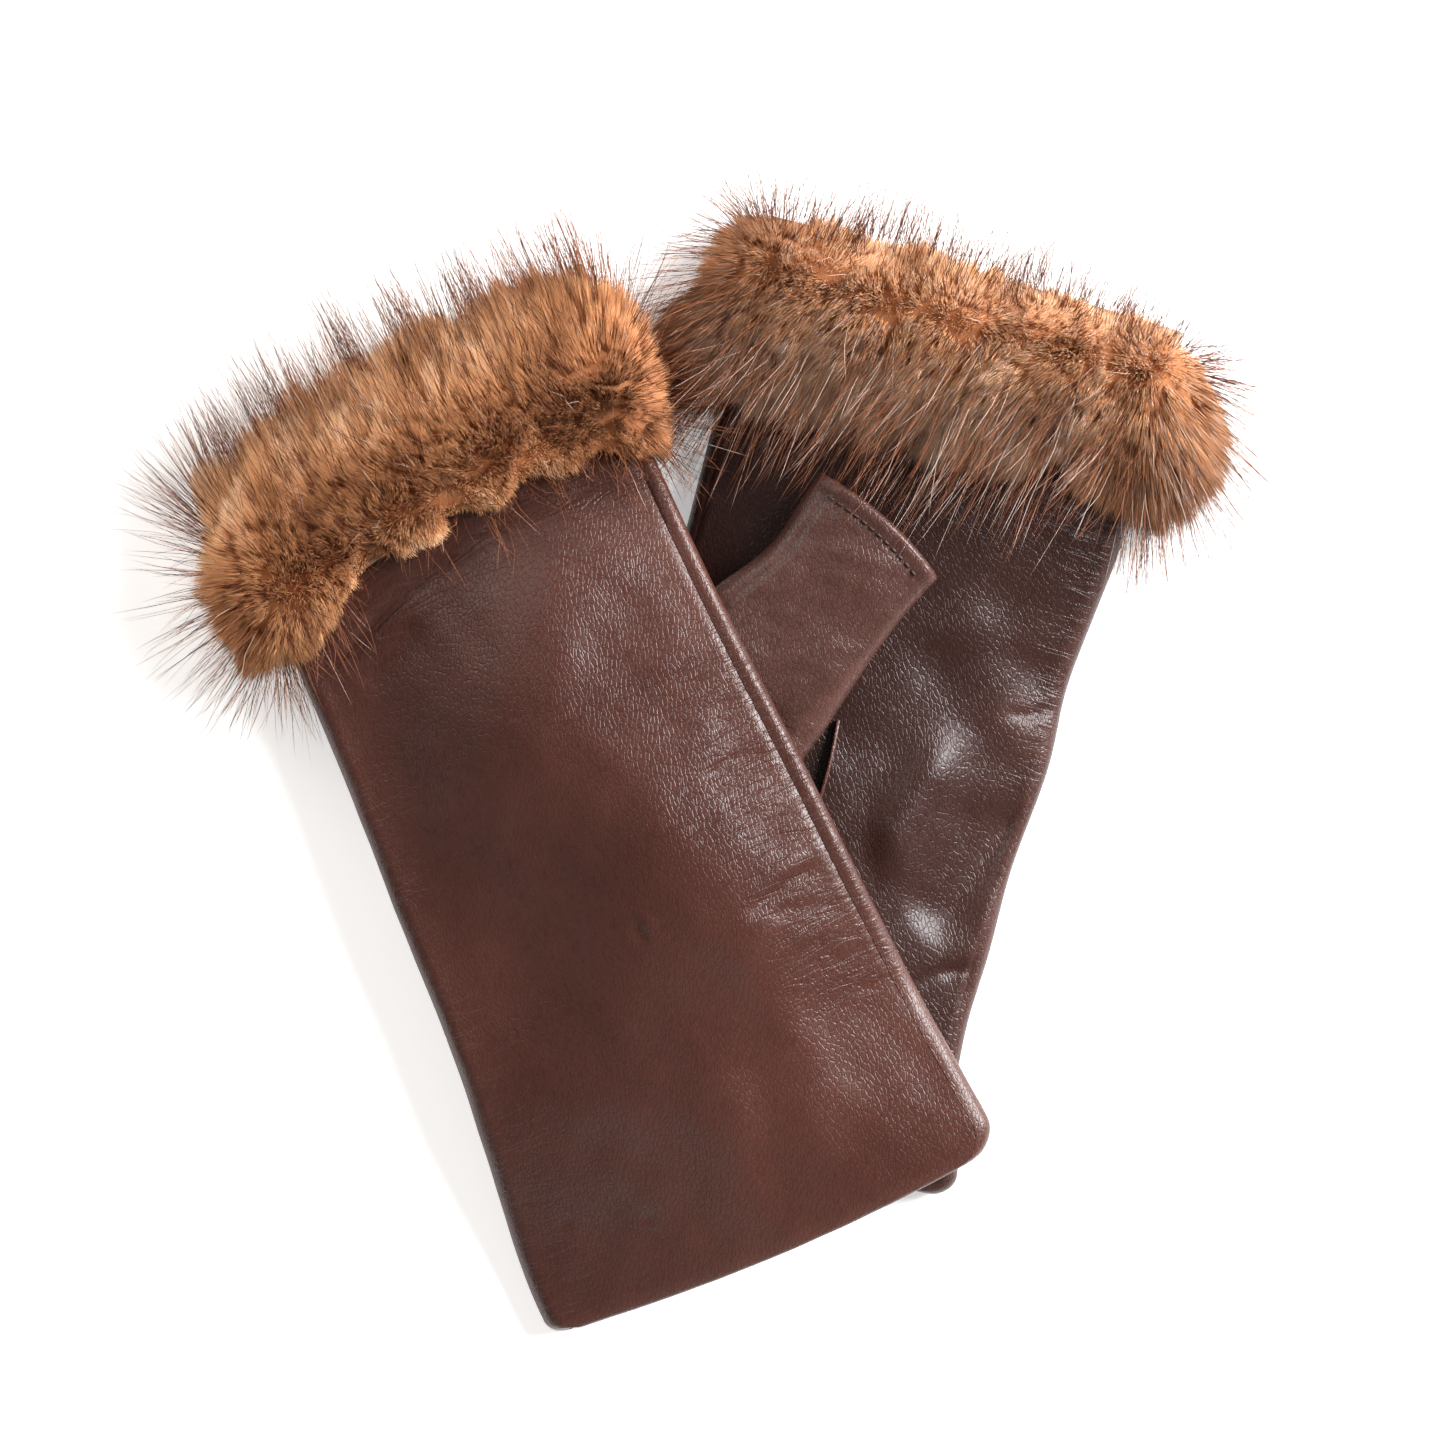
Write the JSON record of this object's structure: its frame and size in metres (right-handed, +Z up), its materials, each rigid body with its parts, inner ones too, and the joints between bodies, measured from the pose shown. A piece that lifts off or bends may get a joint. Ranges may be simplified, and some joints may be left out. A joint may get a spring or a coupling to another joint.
{
  "type": "fingerless leather mitts",
  "caption": "Crossed pair of dark brown fingerless leather mitts with fur cuffs, short open thumb tubes and knitted linings, lying flat.",
  "frame": {"origin": "centre of the bounding box of the crossed pair, on the table they lie on", "axes": "+Z up from the table, +Y from the finger edges towards the fur cuffs, +X to the right of someone who looks down with the cuffs away from them"},
  "size_m": [0.213, 0.225, 0.033],
  "materials": {
    "leather": "soft semi-gloss, dark reddish brown nappa",
    "lining": "matte knitted wool, dark brown",
    "pelt": "matte tanned skin side of the fur",
    "fur": "dense soft fur, orange brown with darker guard hairs",
    "thread": "waxed sewing thread, very dark brown"
  },
  "bodies": {
    "right_mitt": {"right_back_leather": "leather", "right_palm_leather": "leather", "right_thumb_quirk": "leather", "right_hand_lining": "lining", "right_fur_pelt": "pelt", "right_fur_pile": "fur", "right_cuff_seam_thread": "thread", "right_outer_seam_thread": "thread", "right_inner_seam_thread": "thread", "right_finger_hem_thread": "thread", "right_thumb_root_thread": "thread"},
    "right_thumb": {"right_thumb_leather": "leather", "right_thumb_lining": "lining", "right_thumb_hem_thread": "thread"},
    "left_mitt": {"left_back_leather": "leather", "left_palm_leather": "leather", "left_thumb_quirk": "leather", "left_hand_lining": "lining", "left_fur_pelt": "pelt", "left_fur_pile": "fur", "left_cuff_seam_thread": "thread", "left_outer_seam_thread": "thread", "left_inner_seam_thread": "thread", "left_finger_hem_thread": "thread", "left_thumb_root_thread": "thread"},
    "left_thumb": {"left_thumb_leather": "leather", "left_thumb_lining": "lining", "left_thumb_hem_thread": "thread"}
  },
  "joints": [
    {"name": "left_mitt_lift", "type": "slide", "parent": "right_mitt", "child": "left_mitt", "axis": [0, 0, 1], "range_m": [0, 0.14]},
    {"name": "right_thumb_swing", "type": "hinge", "parent": "right_mitt", "child": "right_thumb", "pos_m": [0.00291, 0.01278, 0.0163], "axis": [0.7431, -0.6691, 0], "range_deg": [0, 150]},
    {"name": "left_thumb_swing", "type": "hinge", "parent": "left_mitt", "child": "left_thumb", "pos_m": [-0.04414, -0.02819, 0.0045], "axis": [-0.9171, -0.3987, 0], "range_deg": [0, 150]}
  ],
  "couplings": [
    {"joint": "right_thumb_swing", "follows": "left_mitt_lift", "rad_per_m": 18.69},
    {"joint": "left_thumb_swing", "follows": "left_mitt_lift", "rad_per_m": 18.69}
  ]
}
